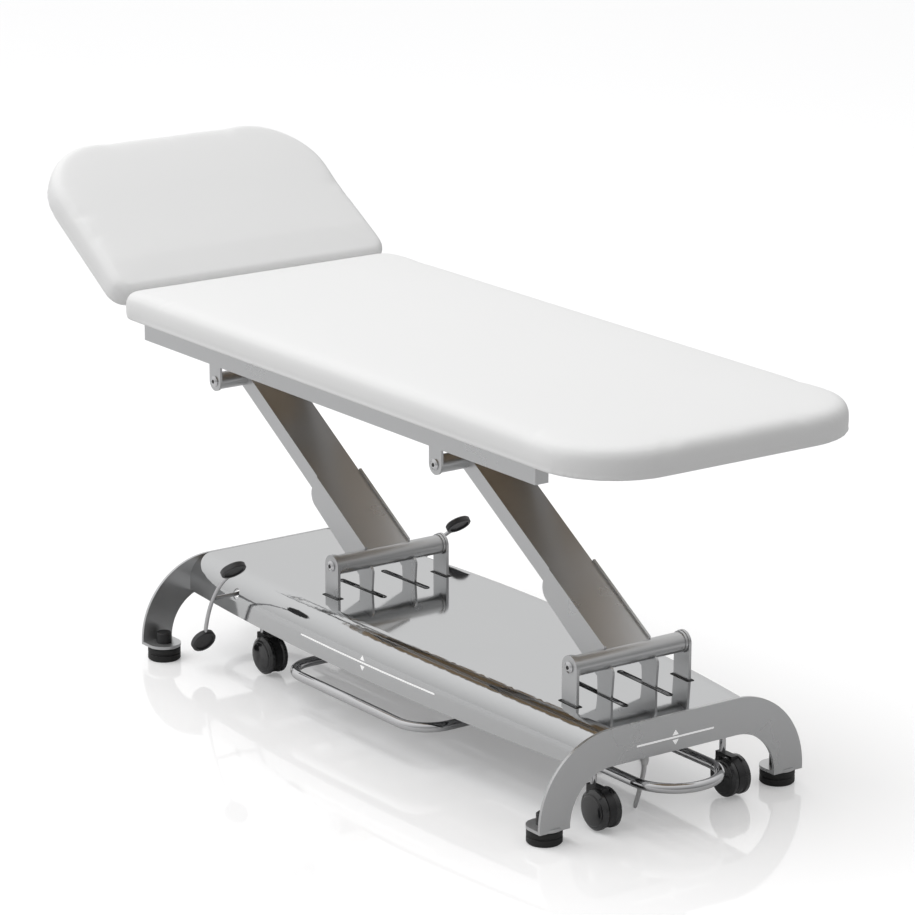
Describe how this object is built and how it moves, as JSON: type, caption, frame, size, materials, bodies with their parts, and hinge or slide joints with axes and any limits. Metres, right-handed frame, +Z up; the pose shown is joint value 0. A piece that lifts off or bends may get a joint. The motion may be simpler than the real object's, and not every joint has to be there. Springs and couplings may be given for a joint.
{
  "type": "height-adjustable examination table",
  "caption": "Padded examination table on a parallel-arm lift, with a tilting backrest, castors lowered by pedals and a switch bar round the base",
  "frame": {"origin": "on the floor under the middle of the base", "axes": "+X to the foot end, +Y to the far side, +Z up"},
  "size_m": [1.9025, 0.65, 0.985],
  "materials": {
    "cushion": "smooth white upholstery",
    "board": "plain plywood",
    "frame_silver": "satin silver grey powder coat",
    "cover_silver": "gloss silver paint",
    "chrome": "polished",
    "steel": "zinc plated",
    "black_plastic": "fine matt",
    "black_rubber": "matt",
    "castor_tread": "smooth",
    "cord_grey": "smooth light grey"
  },
  "bodies": {
    "base": {"base_frame": "frame_silver", "head_arch": "frame_silver", "foot_arch": "frame_silver", "base_cover": "cover_silver", "lower_lugs": "frame_silver", "lower_pivot_screws": "chrome", "lift_motor": "black_plastic", "control_box": "black_plastic", "cord_gland": "black_plastic", "mains_cord": "cord_grey", "cord_coil": "cord_grey", "mains_plug": "cord_grey"},
    "arm_head": {"head_arm": "frame_silver", "head_side_plates": "frame_silver"},
    "arm_foot": {"foot_arm": "frame_silver", "foot_side_plates": "frame_silver"},
    "crank_link": {"crank_link": "steel"},
    "lift_rod": {"lift_rod": "steel"},
    "top": {"top_rails": "frame_silver", "rail_caps": "black_plastic", "top_bearers": "frame_silver", "upper_lugs": "frame_silver", "upper_pivot_screws": "chrome", "main_board": "board", "main_cushion": "cushion", "hinge_brackets": "frame_silver"},
    "backrest": {"head_board": "board", "head_cushion": "cushion", "head_frame": "frame_silver"},
    "release": {"release_bar": "steel"},
    "pedals": {"pedal_shaft": "steel", "pedal_rods": "chrome", "pedal_pads": "black_plastic"},
    "follower": {"follower_shaft": "steel"},
    "castor_tie": {"castor_tie_bar": "steel"},
    "head_beam": {"head_castor_beam": "steel", "castor_stems_head": "chrome"},
    "foot_beam": {"foot_castor_beam": "steel", "castor_stems_foot": "chrome"},
    "switch_bar": {"foot_bar": "chrome"},
    "castor_1": {"castor_hood_1": "black_plastic"},
    "wheels_1": {"castor_wheels_1": "castor_tread"},
    "castor_2": {"castor_hood_2": "black_plastic"},
    "wheels_2": {"castor_wheels_2": "castor_tread"},
    "castor_3": {"castor_hood_3": "black_plastic"},
    "wheels_3": {"castor_wheels_3": "castor_tread"},
    "castor_4": {"castor_hood_4": "black_plastic"},
    "wheels_4": {"castor_wheels_4": "castor_tread"},
    "foot_1": {"foot_pad_1": "black_rubber", "foot_knob_1": "black_plastic"},
    "foot_2": {"foot_pad_2": "black_rubber", "foot_knob_2": "black_plastic"},
    "foot_3": {"foot_pad_3": "black_rubber", "foot_knob_3": "black_plastic"},
    "foot_4": {"foot_pad_4": "black_rubber", "foot_knob_4": "black_plastic"}
  },
  "joints": [
    {"name": "lift", "type": "hinge", "parent": "base", "child": "arm_head", "pos_m": [-0.236, 0, 0.2706], "axis": [0, 1, 0], "range_deg": [-28, 30]},
    {"name": "foot_arm_pivot", "type": "hinge", "parent": "base", "child": "arm_foot", "pos_m": [0.526, 0, 0.2706], "axis": [0, 1, 0], "range_deg": [-28, 30]},
    {"name": "top_pivot", "type": "hinge", "parent": "arm_head", "child": "top", "pos_m": [-0.6765, 0, 0.54693], "axis": [0, 1, 0], "range_deg": [-30, 28]},
    {"name": "link_pivot", "type": "hinge", "parent": "arm_head", "child": "crank_link", "pos_m": [-0.24541, 0, 0.16301], "axis": [0, 1, 0], "range_deg": [-30, 28]},
    {"name": "lift_drive", "type": "slide", "parent": "base", "child": "lift_rod", "axis": [1, 0, 0], "range_m": [-0.056, 0.053]},
    {"name": "backrest_tilt", "type": "hinge", "parent": "top", "child": "backrest", "pos_m": [-0.673, 0, 0.73593], "axis": [0, 1, 0], "range_deg": [-32.4, 35.6]},
    {"name": "backrest_release", "type": "hinge", "parent": "top", "child": "release", "pos_m": [-0.745, 0, 0.59803], "axis": [0, 1, 0], "range_deg": [0, 14], "stiffness_Nm_per_rad": 4, "springref_deg": -20.05},
    {"name": "castor_pedal", "type": "hinge", "parent": "base", "child": "pedals", "pos_m": [-0.467, 0, 0.168], "axis": [0, 1, 0], "range_deg": [0, 38]},
    {"name": "castor_follower", "type": "hinge", "parent": "base", "child": "follower", "pos_m": [0.611, 0, 0.168], "axis": [0, 1, 0], "range_deg": [0, 38]},
    {"name": "castor_tie_pivot", "type": "hinge", "parent": "pedals", "child": "castor_tie", "pos_m": [-0.467, 0, 0.183], "axis": [0, 1, 0], "range_deg": [-38, 0]},
    {"name": "head_beam_drop", "type": "slide", "parent": "base", "child": "head_beam", "axis": [0, 0, -1], "range_m": [0, 0.0122]},
    {"name": "foot_beam_drop", "type": "slide", "parent": "base", "child": "foot_beam", "axis": [0, 0, -1], "range_m": [0, 0.0122]},
    {"name": "castor_swivel_1", "type": "hinge", "parent": "head_beam", "child": "castor_1", "pos_m": [-0.456, -0.15, 0.0405], "axis": [0, 0, 1], "continuous": true},
    {"name": "castor_roll_1", "type": "hinge", "parent": "castor_1", "child": "wheels_1", "pos_m": [-0.431, -0.15, 0.0405], "axis": [0, 1, 0], "continuous": true},
    {"name": "castor_swivel_2", "type": "hinge", "parent": "head_beam", "child": "castor_2", "pos_m": [-0.456, 0.15, 0.0405], "axis": [0, 0, 1], "continuous": true},
    {"name": "castor_roll_2", "type": "hinge", "parent": "castor_2", "child": "wheels_2", "pos_m": [-0.431, 0.15, 0.0405], "axis": [0, 1, 0], "continuous": true},
    {"name": "castor_swivel_3", "type": "hinge", "parent": "foot_beam", "child": "castor_3", "pos_m": [0.622, -0.15, 0.0405], "axis": [0, 0, 1], "continuous": true},
    {"name": "castor_roll_3", "type": "hinge", "parent": "castor_3", "child": "wheels_3", "pos_m": [0.647, -0.15, 0.0405], "axis": [0, 1, 0], "continuous": true},
    {"name": "castor_swivel_4", "type": "hinge", "parent": "foot_beam", "child": "castor_4", "pos_m": [0.622, 0.15, 0.0405], "axis": [0, 0, 1], "continuous": true},
    {"name": "castor_roll_4", "type": "hinge", "parent": "castor_4", "child": "wheels_4", "pos_m": [0.647, 0.15, 0.0405], "axis": [0, 1, 0], "continuous": true},
    {"name": "levelling_1", "type": "hinge", "parent": "base", "child": "foot_1", "pos_m": [-0.637, -0.2707, 0.028], "axis": [0, 0, 1], "continuous": true},
    {"name": "levelling_2", "type": "hinge", "parent": "base", "child": "foot_2", "pos_m": [-0.637, 0.2707, 0.028], "axis": [0, 0, 1], "continuous": true},
    {"name": "levelling_3", "type": "hinge", "parent": "base", "child": "foot_3", "pos_m": [0.637, -0.2707, 0.028], "axis": [0, 0, 1], "continuous": true},
    {"name": "levelling_4", "type": "hinge", "parent": "base", "child": "foot_4", "pos_m": [0.637, 0.2707, 0.028], "axis": [0, 0, 1], "continuous": true},
    {"name": "switch_bar_lift", "type": "slide", "parent": "base", "child": "switch_bar", "axis": [0, 0, 1], "range_m": [-0.008, 0.008], "stiffness_N_per_m": 8000}
  ],
  "couplings": [
    {"joint": "foot_arm_pivot", "follows": "lift", "ratio": 1},
    {"joint": "top_pivot", "follows": "lift", "ratio": -1},
    {"joint": "link_pivot", "follows": "lift", "ratio": -1},
    {"joint": "lift_drive", "follows": "lift", "m_per_rad": -0.10288},
    {"joint": "castor_follower", "follows": "castor_pedal", "ratio": 1},
    {"joint": "castor_tie_pivot", "follows": "castor_pedal", "ratio": -1},
    {"joint": "head_beam_drop", "follows": "castor_pedal", "m_per_rad": 0.018093},
    {"joint": "foot_beam_drop", "follows": "castor_pedal", "m_per_rad": 0.018093}
  ]
}
